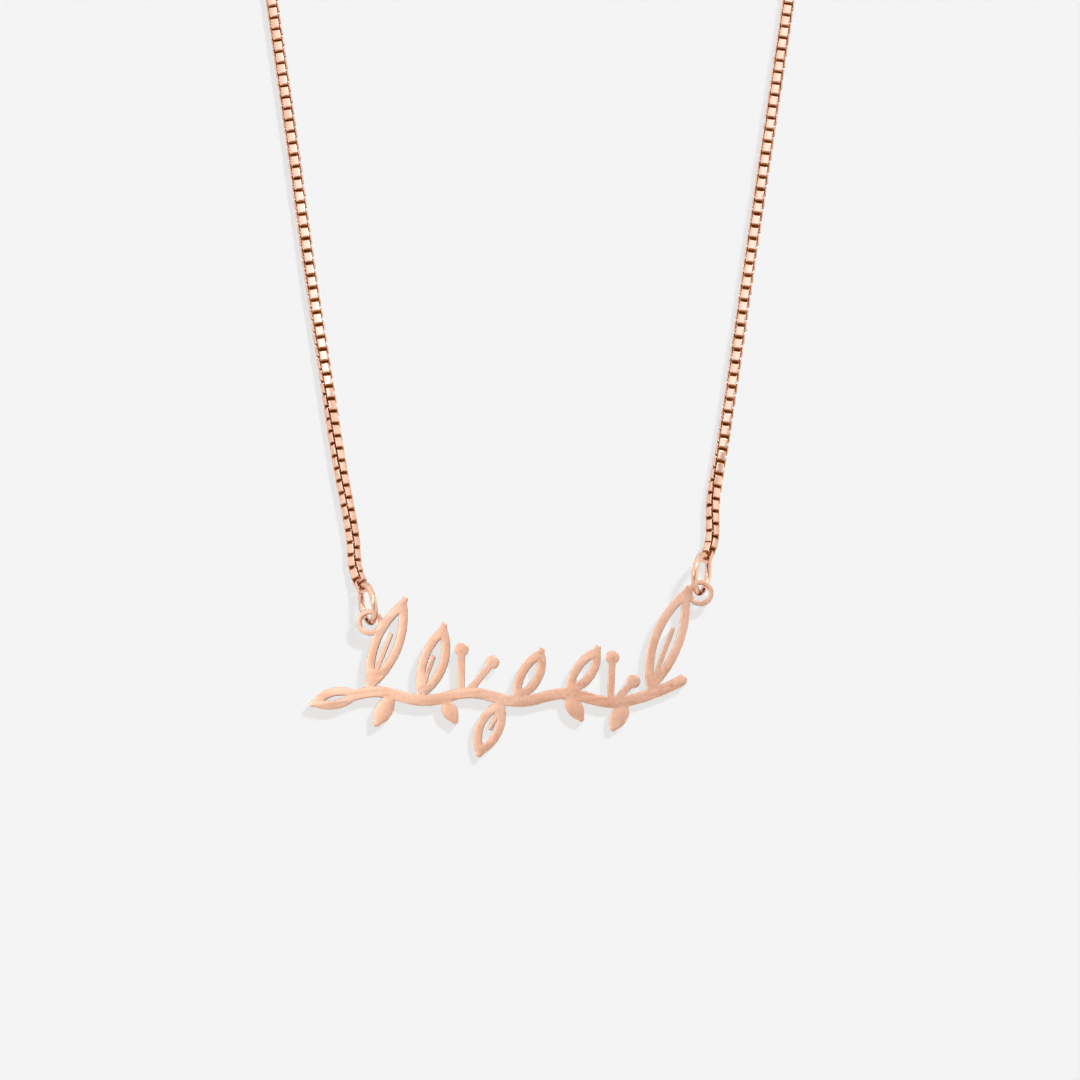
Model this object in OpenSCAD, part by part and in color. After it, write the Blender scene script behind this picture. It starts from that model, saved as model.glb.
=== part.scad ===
// Nameplate necklace lying on a flat surface. A box chain runs from two jump rings
// on a pierced plate around to a clasp, and the plate carries a vine of open leaves.
// Millimetres, +Z up, +Y from the plate towards the clasp, origin under the middle.

/* [Chain] */
// Width of the box chain across its flat sides
chain_w = 1.2; // [0.9:0.05:1.4]
// Thickness of the strip that a box link is bent from
strip_t = 0.17; // [0.13:0.01:0.2]
// Rounding of the outer corners of a box link
link_corner = 0.15; // [0.05:0.01:0.2]
// Length of the necklace once around, plate and clasp included
necklace_len = 450; // [400:5:520]
// Outward lean of the two straight sides of the chain, in degrees
side_lean = 8.5; // [6:0.5:11]
// Distance between the two sides of the chain, taken straight down to the ears
chain_gap = 32.3; // [31:0.1:35]

/* [Rings] */
// Outer diameter of the four jump rings
ring_od = 4.25; // [4:0.05:5]
// Wire thickness of the jump rings
ring_wire = 0.6; // [0.45:0.05:0.65]
// Angle at which a jump ring stands on the surface, in degrees
ring_tilt = 70; // [60:1:75]
// Width of the saw cut where a jump ring is closed
ring_seam = 0.06; // [0.03:0.01:0.1]
// How far around the ring an end link has slid down its wire, in degrees
link_slide = 24; // [10:1:25]

/* [Plate] */
// Thickness of the plate
plate_t = 1; // [0.8:0.05:1.2]
// Distance between the two ears of the plate
ear_gap = 31.7; // [30:0.1:33]
// Depth of the plate below the line through its ears
plate_drop = 13.9; // [12:0.1:16]
// Width of the metal around the bore of an ear
ear_rim = 0.45; // [0.35:0.05:0.6]
// Width of the lines that the leaves are drawn with
leaf_line = 0.82; // [0.6:0.02:1]
// Width of the stem
stem_w = 1.05; // [0.8:0.05:1.3]
// Height of the waves of the stem
stem_wave = 0.4; // [0.2:0.05:0.6]
// Turn of the plate on the surface, in degrees
plate_turn = 5; // [0:0.5:8]
// How far the plate lies to the right of the middle of the loop
plate_shift = 0.4; // [0:0.1:0.8]

/* [Clasp] */
// Distance between the bore and the hook opening where the rings pass
clasp_reach = 8.2; // [7.5:0.1:10]
// Width of the clasp
clasp_w = 4.2; // [3.8:0.1:5]
// Height of the clasp
clasp_h = 2.6; // [2.4:0.1:3.2]
// Width of the metal around the hook opening
hook_rim = 0.75; // [0.6:0.05:0.9]
// Slant of the clasp's two rings towards the chain, in degrees
clasp_slant = 9; // [5:1:14]

/* [Clearances] */
// Extra width of an ear's bore over the ring wire
bore_play = 1; // [1:0.05:1.3]
// Gap on each side of the ring wire inside an end link
link_play = 0.1; // [0.08:0.01:0.15]
// Gap between the chain and its end link
chain_play = 0.12; // [0.1:0.01:0.2]
// Gap beside the neighbouring link's strip inside an end link
bar_play = 0.05; // [0.03:0.01:0.08]
// How much narrower a link's strip is than the opening that it passes through
strip_play = 0.02; // [0.01:0.01:0.05]
// Height that an ear is held above the wire that passes under it
lift_play = 0.15; // [0.12:0.01:0.25]

/* [Hidden] */
$fn = 96;

rose = [0.93, 0.73, 0.62];
rose_bright = [0.95, 0.78, 0.69];
rose_deep = [0.85, 0.64, 0.52];

// Names of a point's coordinates, and of the roll kept beside them
X = 0;
Y = 1;
Z = 2;
ROLL = 3;
LEFT = -1;
RIGHT = 1;

// Jump rings
wire_r = ring_wire / 2;
ring_r = ring_od / 2 - wire_r;
ring_z = ring_r * sin(ring_tilt) + wire_r;
seam_angle = ring_seam / ring_r * 180 / PI;
// Where around a ring its saw cut lies, from the ring's right, in degrees
SEAM_LEFT = 140;
SEAM_RIGHT = 206;
SEAM_CLASP = 60;
SEAM_CATCH = 75;

// Ears
ear_bore = ring_wire + bore_play;
ear_r = ear_bore / 2 + ear_rim;
// The wire crosses the plate this far around the ring, in degrees
WIRE_SWING = 20;
// Reach along the surface from the ring's middle to the bore's near edge
bore_edge = ring_r * cos(WIRE_SWING) - ear_bore / 2;
ear_lift = ring_z - sin(ring_tilt) * sqrt(pow(ring_r - wire_r, 2) - pow(bore_edge, 2)) + lift_play;
ear_mid_z = ear_lift + plate_t / 2;

// End links: a longer box link, bent from the same strip, around the ring wire
link_inner = ring_wire + 2 * link_play;
link_w = link_inner + 2 * strip_t;
link_strip = link_inner - strip_play;
link_near = wire_r + link_play + strip_t;
link_far = wire_r + link_play + bar_play + 2 * strip_t;
chain_start = link_far + chain_play;

// Where the wire crosses the middle of an ear, along and across the ring
ear_dip = (ring_z - ear_mid_z) / sin(ring_tilt);
ear_along = sqrt(ring_r * ring_r - ear_dip * ear_dip);
ear_across = ear_dip * cos(ring_tilt);

function turned(v, a) = [v[X] * cos(a) - v[Y] * sin(a), v[X] * sin(a) + v[Y] * cos(a), v[Z]];
function tipped(v, a) = [v[X] * cos(a), v[Y], v[X] * sin(a)];

// A ring stands with its side of this sign raised; its turn is that of the way to the chain
function ring_middle(eye, turn, up) =
    [eye[X], eye[Y], 0] + turned([up * ear_across, ear_along, 0], turn) + [0, 0, ring_z];
// The point this far out from the ring's middle, where the end link lies
function link_point(middle, turn, up, out) =
    middle + turned(tipped([-up * out * sin(link_slide), out * cos(link_slide), 0], up * ring_tilt), turn);

// The loop: two straight sides, and a round top that closes it
arc_angle = 180 + 2 * side_lean;
arc_share = arc_angle * PI / 180;
side_len = (necklace_len - ear_gap - arc_share * chain_gap / 2 / cos(side_lean))
    / (2 + arc_share * tan(side_lean));
arc_x = chain_gap / 2 + side_len * sin(side_lean);
arc_r = arc_x / cos(side_lean);
arc_mid_y = side_len * cos(side_lean) + arc_r * sin(side_lean);
top_y = arc_mid_y + arc_r;

function ear_at(side) =
    turned([side * ear_gap / 2, 0, 0], plate_turn) + [plate_shift, 0, 0];
function eye_at(side) = [side * clasp_reach / 2, top_y, 0];

// Turn of each jump ring beside the plate, and the side of it that is raised
RING_TURN_LEFT = 11.5;
RING_TURN_RIGHT = -8.5;
function plate_ring_turn(side) = side == LEFT ? RING_TURN_LEFT : RING_TURN_RIGHT;
function clasp_ring_turn(side) = -side * (90 + clasp_slant);
function raised(side) = -side;

plate_ring_left = ring_middle(ear_at(LEFT), RING_TURN_LEFT, raised(LEFT));
plate_ring_right = ring_middle(ear_at(RIGHT), RING_TURN_RIGHT, raised(RIGHT));
clasp_ring_left = ring_middle(eye_at(LEFT), clasp_ring_turn(LEFT), raised(LEFT));
clasp_ring_right = ring_middle(eye_at(RIGHT), clasp_ring_turn(RIGHT), raised(RIGHT));

function plate_ring(side) = side == LEFT ? plate_ring_left : plate_ring_right;
function clasp_end_ring(side) = side == LEFT ? clasp_ring_left : clasp_ring_right;

// The chain's route: height up the side from the ear line, and drift outward from the
// straight side, both chosen by hand; the round top follows from the loop
DRIFT_LEFT = [[7, -0.1], [14, 0.15], [22, 0.22], [32, 0.28], [46, 0.15], [60, 0.1], [90, 0]];
DRIFT_RIGHT = [[10, -0.25], [16, -0.17], [22, -0.12], [32, -0.14], [46, -0.12], [60, -0.1], [90, 0]];
ARC_STEPS = 14;
// How far up a side the route has its last point before the round top
side_point = 0.75 * side_len;
// Angle at the loop's middle over which the clasp and its rings close the round top
CLASP_ANGLE = 16;
// Length over which the chain leaves an end link straight
STRAIGHT_OUT = 0.6;

// Roll of the chain about its own length, in degrees: distance from the jump ring, roll
ROLL_LEFT = [[0, 20], [1, 24], [5, 54], [9, 50], [18, 33], [28, 12], [34, 4], [46, 0]];
ROLL_RIGHT = [[0, 70], [1, 67], [5, 47], [9, 38], [13, 22], [18, 9], [26, 2], [34, 0]];
// Roll over the last stretch before the clasp: distance from the ring there, roll
ROLL_CLASP = [[0, 20], [2, 18], [9, 0]];

function drift(side) = side == LEFT ? DRIFT_LEFT : DRIFT_RIGHT;
function near_roll(side, s) = lookup(s, side == LEFT ? ROLL_LEFT : ROLL_RIGHT);
function roll_at(side, s, total) = near_roll(side, s) + side * lookup(total - s, ROLL_CLASP);

// Height of the middle of a rolled chain that touches the surface
function rest_z(roll) =
    (chain_w / 2 - link_corner) * (abs(cos(roll)) + abs(sin(roll))) + link_corner;

function side_points(side) = [
    for (row = drift(side))
        [side * (chain_gap / 2 + row[0] * tan(side_lean) + row[1]), row[0]]
];
function arc_points(side) = [
    for (i = [0:ARC_STEPS - 1])
        let (a = -side_lean + i * (90 + side_lean - CLASP_ANGLE) / (ARC_STEPS - 1))
        [side * arc_r * cos(a), arc_mid_y + arc_r * sin(a)]
];
function flat(p) = [p[X], p[Y]];
function route(side) = concat(
    [for (out = [chain_start, chain_start + STRAIGHT_OUT])
        flat(link_point(plate_ring(side), plate_ring_turn(side), raised(side), ring_r + out))],
    side_points(side),
    [[side * (chain_gap / 2 + side_point * sin(side_lean)), side_point * cos(side_lean)]],
    arc_points(side),
    [for (out = [chain_start + STRAIGHT_OUT, chain_start])
        flat(link_point(clasp_end_ring(side), clasp_ring_turn(side), raised(side), ring_r + out))]
);

// A smooth curve through the route: each stretch is a cubic whose end slopes come from
// the neighbouring points, weighted by how near they are
function slope(p, i) =
    i == 0 ? (p[1] - p[0]) / norm(p[1] - p[0])
    : i == len(p) - 1 ? (p[i] - p[i - 1]) / norm(p[i] - p[i - 1])
    : let (
        before = norm(p[i] - p[i - 1]),
        after = norm(p[i + 1] - p[i])
    )
    ((p[i] - p[i - 1]) / before * after + (p[i + 1] - p[i]) / after * before) / (before + after);
function blend(p, i, t) =
    let (d = norm(p[i + 1] - p[i]))
    p[i] * (2 * t * t * t - 3 * t * t + 1)
    + slope(p, i) * d * (t * t * t - 2 * t * t + t)
    + p[i + 1] * (3 * t * t - 2 * t * t * t)
    + slope(p, i + 1) * d * (t * t * t - t * t);

// Spacing of the chain's sections, and the closer spacing on the first stretches
TUBE_STEP = 10.2;
NEAR_STEP = 2.7;
NEAR_STRETCHES = 4;
function stations(p) = concat(
    [
        for (i = [0:len(p) - 2])
            let (
                step = i < NEAR_STRETCHES ? NEAR_STEP : TUBE_STEP,
                steps = max(1, ceil(norm(p[i + 1] - p[i]) / step))
            )
            for (j = [0:steps - 1]) blend(p, i, j / steps)
    ],
    [p[len(p) - 1]]
);
function run_sum(p, i = 0, s = 0) =
    i == len(p) ? []
    : let (here = i == 0 ? 0 : s + norm(p[i] - p[i - 1]))
    concat([here], run_sum(p, i + 1, here));

// Extra height near a ring: the chain comes down from the end link in a short curve
link_z = link_point([0, 0, ring_z], 0, 1, ring_r + chain_start)[Z];
function come_down(s, roll) =
    let (
        above = link_z - rest_z(roll),
        stretch = 2 * above / (sin(link_slide) * sin(ring_tilt))
    )
    s < stretch ? above * pow(1 - s / stretch, 2) : 0;

function centre_line(side) =
    let (
        p = stations(route(side)),
        s = run_sum(p),
        total = s[len(s) - 1]
    )
    [
        for (i = [0:len(p) - 1])
            let (roll = roll_at(side, s[i], total))
            [
                p[i][X], p[i][Y],
                rest_z(roll) + come_down(s[i], roll) + come_down(total - s[i], roll),
                roll
            ]
    ];

function xyz(p) = [p[X], p[Y], p[Z]];
function unit(v) = v / norm(v);
// Corners of the chain's section, with its chamfers, once around
half_w = chain_w / 2;
flat_w = half_w - link_corner;
SECTION = [
    [half_w, -flat_w], [half_w, flat_w], [flat_w, half_w], [-flat_w, half_w],
    [-half_w, flat_w], [-half_w, -flat_w], [-flat_w, -half_w], [flat_w, -half_w]
];
function tube_ring(line, i) =
    let (
        from = line[max(i - 1, 0)],
        to = line[min(i + 1, len(line) - 1)],
        along = unit(xyz(to) - xyz(from)),
        beside = unit(cross(along, [0, 0, 1])),
        above = cross(beside, along),
        roll = line[i][ROLL],
        up = above * cos(roll) + beside * sin(roll),
        out = beside * cos(roll) - above * sin(roll)
    )
    [for (corner = SECTION) xyz(line[i]) + out * corner[X] + up * corner[Y]];

module tube(line) {
    sides = len(SECTION);
    rings = len(line);
    points = [for (i = [0:rings - 1]) each tube_ring(line, i)];
    walls = [
        for (i = [0:rings - 2]) for (j = [0:sides - 1])
            let (k = (j + 1) % sides)
            [i * sides + j, (i + 1) * sides + j, (i + 1) * sides + k, i * sides + k]
    ];
    first = [for (j = [0:sides - 1]) j];
    last = [for (j = [sides - 1:-1:0]) (rings - 1) * sides + j];
    polyhedron(points, concat([first], walls, [last]), convexity = 10);
}

// The vine on the plate. Shares along it are of the distance between the ears, and
// heights and lengths are shares of the plate's drop below them.
STEM_FROM = [-0.57, -0.49];
STEM_TO = [0.42, -0.715];
STEM_TAIL = 0.87;
TAIL_RISE = 0.13;
STEM_WAVES = 3.5;
STEM_STEPS = 72;
// Columns of a leaf: foot along the stem, length, direction in degrees, bellies on its
// left and right as shares of its length, and its rib's length as a share of it
FOOT = 0;
LENGTH = 1;
WAY = 2;
BELLY_LEFT = 3;
BELLY_RIGHT = 4;
RIB = 5;
OPEN_LEAVES = [
    [-0.375, 0.56, 66, 0.15, 0.2, 0.55],
    [-0.09, 0.42, 56, 0.17, 0.24, 0],
    [0.07, 0.4, 50, 0.17, 0.24, 0],
    [-0.12, 0.43, 241, 0.2, 0.24, 0.5],
    [-0.545, 0.36, 187, 0.19, 0.22, 0]
];
CLOSED_LEAVES = [
    [-0.45, 0.25, 236, 0.24, 0.24],
    [-0.3, 0.2, 292, 0.26, 0.26],
    [0.07, 0.22, 296, 0.26, 0.26],
    [0.25, 0.23, 238, 0.26, 0.26]
];
// The leaves that carry the ears: the same columns, but with the tip's place from the
// ear, as shares of the ear's radius, for length and direction
TIP_RIGHT = 1;
TIP_UP = 2;
EAR_LEAF_LEFT = [-0.525, 2.9, 1.7, 0.15, 0.15, 0.6];
EAR_LEAF_RIGHT = [0.315, -0.86, 0.62, 0.15, 0.13, 0.6];
// Columns of a berry: foot along the stem, length of its stalk, direction
BERRIES = [
    [-0.245, 0.3, 84],
    [-0.225, 0.27, 46],
    [0.2, 0.31, 82],
    [0.21, 0.2, 42]
];
leaf_rib = 0.55 * leaf_line;
stalk_w = 0.8 * leaf_line;
// Rounding of a leaf's tip, and how far back from the point it sits
TIP_ROUND = 0.74;
TIP_BACK = 0.34;
berry_r = 0.62 * stem_w;

function stem_share(t) =
    t < STEM_TAIL ? 0 : TAIL_RISE * pow((t - STEM_TAIL) / (1 - STEM_TAIL), 2);
function stem_point(t) = [
    ear_gap * (STEM_FROM[X] + (STEM_TO[X] - STEM_FROM[X]) * t),
    plate_drop * (STEM_FROM[Y] + (STEM_TO[Y] - STEM_FROM[Y]) * t + stem_share(t))
        + stem_wave * sin(360 * STEM_WAVES * t)
];
function stem_at(share) = stem_point((share - STEM_FROM[X]) / (STEM_TO[X] - STEM_FROM[X]));
function stem_side(t, off) =
    let (
        near = 0.1 / STEM_STEPS,
        way = stem_point(t + near) - stem_point(t - near),
        beside = [-way[Y], way[X]] / norm(way)
    )
    stem_point(t) + beside * off;

module stem() {
    polygon(concat(
        [for (i = [0:STEM_STEPS]) stem_side(i / STEM_STEPS, -stem_w / 2)],
        [for (i = [STEM_STEPS:-1:0]) stem_side(i / STEM_STEPS, stem_w / 2)]
    ));
    for (t = [0, 1]) translate(stem_point(t)) circle(d = stem_w);
}

// Where an ear sits on the plate, and its leaf's row in the form of the other leaves
function ear_on_plate(side) = [side * ear_gap / 2, 0];
function ear_leaf(side) =
    let (
        row = side == LEFT ? EAR_LEAF_LEFT : EAR_LEAF_RIGHT,
        tip = ear_on_plate(side) + [row[TIP_RIGHT], row[TIP_UP]] * ear_r,
        span = tip - stem_at(row[FOOT]),
        length = norm(span) / plate_drop
    )
    [row[FOOT], length, atan2(span[Y], span[X]), row[BELLY_LEFT], row[BELLY_RIGHT], row[RIB]];
DRAWN_LEAVES = concat(OPEN_LEAVES, [ear_leaf(LEFT), ear_leaf(RIGHT)]);

// Radius of the arc that stands this high on a chord of this length
function arc_over(chord, high) = chord * chord / 8 / high + high / 2;

// Two arcs that meet in points at the leaf's foot and tip, inset by a line's width
module leaf_outline(length, left, right, inset) {
    left_r = arc_over(length, left);
    right_r = arc_over(length, right);
    intersection() {
        translate([length / 2, left - left_r]) circle(r = left_r - inset, $fn = 180);
        translate([length / 2, right_r - right]) circle(r = right_r - inset, $fn = 180);
    }
}

module on_stem(row) {
    translate(stem_at(row[FOOT])) rotate(row[WAY]) children();
}

module leaf(row) {
    length = row[LENGTH] * plate_drop;
    on_stem(row) {
        leaf_outline(length, row[BELLY_LEFT] * length, row[BELLY_RIGHT] * length, 0);
        translate([length - TIP_BACK * leaf_line, 0]) circle(r = tip_r);
    }
}

module leaf_opening(row) {
    length = row[LENGTH] * plate_drop;
    on_stem(row) difference() {
        leaf_outline(length, row[BELLY_LEFT] * length, row[BELLY_RIGHT] * length, leaf_line);
        if (row[RIB] > 0) {
            translate([0, -leaf_rib / 2]) square([length * row[RIB], leaf_rib]);
            translate([length * row[RIB], 0]) circle(d = leaf_rib);
        }
    }
}

module berry(row) {
    length = row[LENGTH] * plate_drop;
    on_stem(row) {
        translate([0, -stalk_w / 2]) square([length, stalk_w]);
        translate([length, 0]) circle(r = berry_r);
    }
}

module plate_outline() {
    difference() {
        union() {
            stem();
            difference() {
                for (row = DRAWN_LEAVES) leaf(row);
                for (row = DRAWN_LEAVES) leaf_opening(row);
            }
            for (row = CLOSED_LEAVES) leaf(row);
            for (row = BERRIES) berry(row);
            for (side = [LEFT, RIGHT]) translate(ear_on_plate(side)) circle(r = ear_r);
        }
        for (side = [LEFT, RIGHT]) translate(ear_on_plate(side)) circle(d = ear_bore);
    }
}

// Everything stands in the working frame, with its origin between the two sides at the
// height of the ears, and is moved so that the origin is under the middle of the whole
LOW_LEAF = OPEN_LEAVES[3];
tip_r = TIP_ROUND * leaf_line / 2;
low_tip = stem_at(LOW_LEAF[FOOT])
    + (LOW_LEAF[LENGTH] * plate_drop - TIP_BACK * leaf_line) * [cos(LOW_LEAF[WAY]), sin(LOW_LEAF[WAY])];
// The plate leans from its lowest leaf, on the surface, up to its ears on the rings
plate_lean = asin(ear_lift / (tip_r - low_tip[Y]));
low_y = low_tip[X] * sin(plate_turn) - tip_r
    + (low_tip[Y] * cos(plate_lean) - plate_t * sin(plate_lean)) * cos(plate_turn);
high_y = top_y + clasp_w / 2;
mid_y = (low_y + high_y) / 2;

module placed() {
    translate([0, -mid_y, 0]) children();
}

module nameplate() {
    color(rose) placed()
        translate([plate_shift, 0, ear_lift]) rotate([0, 0, plate_turn]) rotate([plate_lean, 0, 0])
            linear_extrude(plate_t) plate_outline();
}

module jump_ring(middle, turn, up, seam) {
    color(rose_bright) placed()
        translate(middle) rotate([0, 0, turn]) rotate([0, -up * ring_tilt, 0])
            rotate([0, 0, seam + seam_angle / 2])
                rotate_extrude(angle = 360 - seam_angle)
                    translate([ring_r, 0]) circle(r = wire_r, $fn = 48);
}

module end_link(middle, turn, up) {
    color(rose_bright) placed()
        translate(middle) rotate([0, 0, turn]) rotate([0, -up * ring_tilt, 0])
            rotate([0, 0, up * link_slide]) translate([-link_strip / 2, ring_r, 0])
                rotate([90, 0, 90]) linear_extrude(link_strip) link_outline();
}

// Outline of a box with four rounded corners, each a quarter turn in a few steps
CORNER_STEPS = 4;
function round_box(low, high, half, r) = [
    for (quarter = [0:3], step = [0:CORNER_STEPS])
        let (
            a = 90 * (quarter + step / CORNER_STEPS),
            x = quarter == 0 || quarter == 3 ? high - r : low + r,
            y = quarter < 2 ? half - r : r - half
        )
        [x + r * cos(a), y + r * sin(a)]
];

module link_outline() {
    difference() {
        polygon(round_box(-link_near, link_far, link_w / 2, link_corner));
        translate([strip_t - link_near, -link_inner / 2])
            square([link_near + link_far - 2 * strip_t, link_inner]);
    }
}

module chain(side) {
    color(rose_deep) placed() tube(centre_line(side));
}

// Plan of the clasp: a drop that narrows to the bore, with a hook opening in its wide end
loop_r = clasp_w / 2;
opening_r = loop_r - hook_rim;
bore_x = -clasp_reach / 2;
loop_x = clasp_reach / 2 + ear_bore / 2 - opening_r;
// The drop starts behind the bore and is widest short of the loop's middle
drop_x = bore_x - 0.2 * ear_r;
drop_half = loop_x - 0.25 * opening_r - drop_x;
// The notch that lengthens the hook opening towards the bore
notch_r = 0.85 * opening_r;
notch_x = loop_x - 0.7 * opening_r;
// The flat foot under the body
foot_w = 0.7 * clasp_w;
foot_len = 0.4 * clasp_reach;
foot_x = -0.75 * foot_len;
foot_r = 0.6 * foot_len;
// The thumb piece that stands out of the body's side
thumb_r = 0.17 * clasp_w;
thumb_x = foot_x + 0.6 * foot_len;
thumb_y = -0.86 * loop_r;
// The thick body and the radius of its crown
body_from = foot_x - 0.1 * foot_len;
body_to = loop_x - 1.8 * opening_r;
crown_r = clasp_w;

module drop_plan() {
    intersection() {
        translate([drop_x, 0]) leaf_outline(2 * drop_half, loop_r, loop_r, 0);
        translate([drop_x, -loop_r]) square([loop_x - drop_x, clasp_w]);
    }
}

module clasp_plan() {
    difference() {
        union() {
            drop_plan();
            translate([loop_x, 0]) circle(r = loop_r);
            translate([bore_x, 0]) circle(r = ear_r);
            translate([thumb_x, thumb_y]) circle(r = thumb_r);
        }
        translate([bore_x, 0]) circle(d = ear_bore);
        translate([loop_x, 0]) circle(r = opening_r);
        translate([notch_x, 0]) circle(r = notch_r);
    }
}

module foot_plan() {
    intersection() {
        drop_plan();
        translate([foot_x, -foot_w / 2]) square([foot_len, foot_w]);
        translate([foot_x + foot_len / 2, 0]) circle(r = foot_r);
    }
}

module clasp_body() {
    intersection() {
        translate([0, 0, ear_lift]) linear_extrude(clasp_h) intersection() {
            drop_plan();
            translate([body_from, -loop_r]) square([body_to - body_from, clasp_w]);
        }
        translate([0, 0, clasp_h - crown_r]) rotate([0, 90, 0])
            cylinder(r = crown_r, h = 2 * clasp_reach, center = true);
    }
}

module clasp() {
    color(rose_bright) placed() translate([0, top_y, 0]) {
        translate([0, 0, ear_lift]) linear_extrude(plate_t) clasp_plan();
        clasp_body();
        linear_extrude(ear_lift + plate_t / 2) foot_plan();
    }
}

nameplate();
jump_ring(plate_ring(LEFT), plate_ring_turn(LEFT), raised(LEFT), SEAM_LEFT);  // jump_ring_left
jump_ring(plate_ring(RIGHT), plate_ring_turn(RIGHT), raised(RIGHT), SEAM_RIGHT);  // jump_ring_right
chain(LEFT);  // chain_left
chain(RIGHT);  // chain_right
end_link(plate_ring(LEFT), plate_ring_turn(LEFT), raised(LEFT));  // end_link_left
end_link(plate_ring(RIGHT), plate_ring_turn(RIGHT), raised(RIGHT));  // end_link_right
end_link(clasp_end_ring(LEFT), clasp_ring_turn(LEFT), raised(LEFT));  // end_link_clasp
end_link(clasp_end_ring(RIGHT), clasp_ring_turn(RIGHT), raised(RIGHT));  // end_link_catch
jump_ring(clasp_end_ring(LEFT), clasp_ring_turn(LEFT), raised(LEFT), SEAM_CLASP);  // clasp_ring
jump_ring(clasp_end_ring(RIGHT), clasp_ring_turn(RIGHT), raised(RIGHT), SEAM_CATCH);  // catch_ring
clasp();
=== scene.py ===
"""A rose gold nameplate necklace that lies on a pale floor, as in a plain studio photograph.

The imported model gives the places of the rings, the plate and the clasp. Each solid chain is
replaced by its box links, and the plate, rings, end links and clasp get rounded edges and
finishes. Sizes in the classes are millimetres and angles are degrees, and both are converted
where they are used.
"""

import logging
import math
import random
from bisect import bisect_left
from dataclasses import dataclass, field
from enum import Enum
from functools import cached_property

import bmesh
import bpy
from mathutils import Matrix, Vector
from mathutils.geometry import tessellate_polygon


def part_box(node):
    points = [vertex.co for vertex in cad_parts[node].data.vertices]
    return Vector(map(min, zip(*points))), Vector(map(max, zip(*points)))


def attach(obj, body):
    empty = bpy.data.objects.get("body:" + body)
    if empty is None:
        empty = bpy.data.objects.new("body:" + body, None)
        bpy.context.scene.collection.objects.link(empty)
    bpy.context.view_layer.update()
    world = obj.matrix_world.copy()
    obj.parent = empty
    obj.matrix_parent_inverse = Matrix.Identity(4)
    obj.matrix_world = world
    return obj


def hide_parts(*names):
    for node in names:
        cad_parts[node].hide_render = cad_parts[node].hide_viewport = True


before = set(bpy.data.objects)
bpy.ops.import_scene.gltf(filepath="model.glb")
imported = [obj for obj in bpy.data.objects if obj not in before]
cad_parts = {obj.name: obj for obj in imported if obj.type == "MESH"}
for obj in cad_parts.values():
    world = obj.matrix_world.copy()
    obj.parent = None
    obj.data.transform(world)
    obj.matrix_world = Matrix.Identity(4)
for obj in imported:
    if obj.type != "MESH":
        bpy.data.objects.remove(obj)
log = logging.getLogger("necklace")

MM = 0.001
UP = Vector((0, 0, 1))

# The values between which nearly all of a noise lies, and nearly all of a sum of two noises
NOISE_LOW, NOISE_HIGH = 0.3, 0.7
SUM_LOW, SUM_HIGH = 0.7, 1.3

# A Mix node's colour sockets, by number because several of its sockets share a name
MIX_FIRST, MIX_SECOND, MIX_RESULT = 6, 7, 2

Point = tuple[float, float]
Table = tuple[Point, ...]


class Side(Enum):
    """The side of the necklace, as it lies with the plate nearest."""

    LEFT = -1
    RIGHT = 1

    @property
    def word(self) -> str:
        """The side's name as the model's nodes have it."""
        return self.name.lower()


class Slot(Enum):
    """The record's material slots."""

    PLATE = "plate"
    CHAIN = "chain"
    RINGS = "rings"
    CLASP = "clasp"


def linear(code: str) -> tuple[float, float, float, float]:
    """Turn an sRGB hex colour to linear values.

    Args:
        code: the colour, such as "F4F4F4".

    Returns:
        Red, green, blue and an alpha of one.
    """
    shares = [int(code[i:i + 2], 16) / 255 for i in (0, 2, 4)]
    red, green, blue = (s / 12.92 if s <= 0.04045 else ((s + 0.055) / 1.055) ** 2.4 for s in shares)
    return red, green, blue, 1.0


def read_table(table: Table, at: float) -> float:
    """Read a table of rising places and their values, straight between two rows.

    Args:
        table: rows of a place and its value.
        at: the place to read; the end rows hold beyond the ends.

    Returns:
        The value there.
    """
    if at <= table[0][0]:
        return table[0][1]
    for (low, first), (high, second) in zip(table, table[1:]):
        if at <= high:
            return first + (second - first) * (at - low) / (high - low)
    return table[-1][1]


def turn(degrees: float, axis: str) -> Matrix:
    """A rotation about a main axis.

    Args:
        degrees: the angle.
        axis: "X", "Y" or "Z".

    Returns:
        The rotation as a 4 by 4 matrix.
    """
    return Matrix.Rotation(math.radians(degrees), 4, axis)


def frame_of(x: Vector, y: Vector, z: Vector, origin: Vector) -> Matrix:
    """A frame in space.

    Args:
        x: the direction of its X.
        y: the direction of its Y.
        z: the direction of its Z.
        origin: its origin.

    Returns:
        The frame as a 4 by 4 matrix.
    """
    columns = Matrix((x, y, z)).transposed().to_4x4()
    columns.translation = origin
    return columns


def add_node(
    tree: bpy.types.NodeTree, kind: str, settings: dict[str, object] | None = None, **inputs: object
) -> bpy.types.Node:
    """Add a node to a tree.

    Args:
        tree: the node tree.
        kind: the node's type, such as "ShaderNodeBump".
        settings: the node's own properties.
        **inputs: values or output sockets for its inputs, by their names with _ for a space.

    Returns:
        The new node.
    """
    node = tree.nodes.new(kind)
    for name, value in (settings or {}).items():
        setattr(node, name, value)
    for name, value in inputs.items():
        socket = node.inputs[name.replace("_", " ")]
        if isinstance(value, bpy.types.NodeSocket):
            tree.links.new(value, socket)
        else:
            socket.default_value = value
    return node


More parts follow.
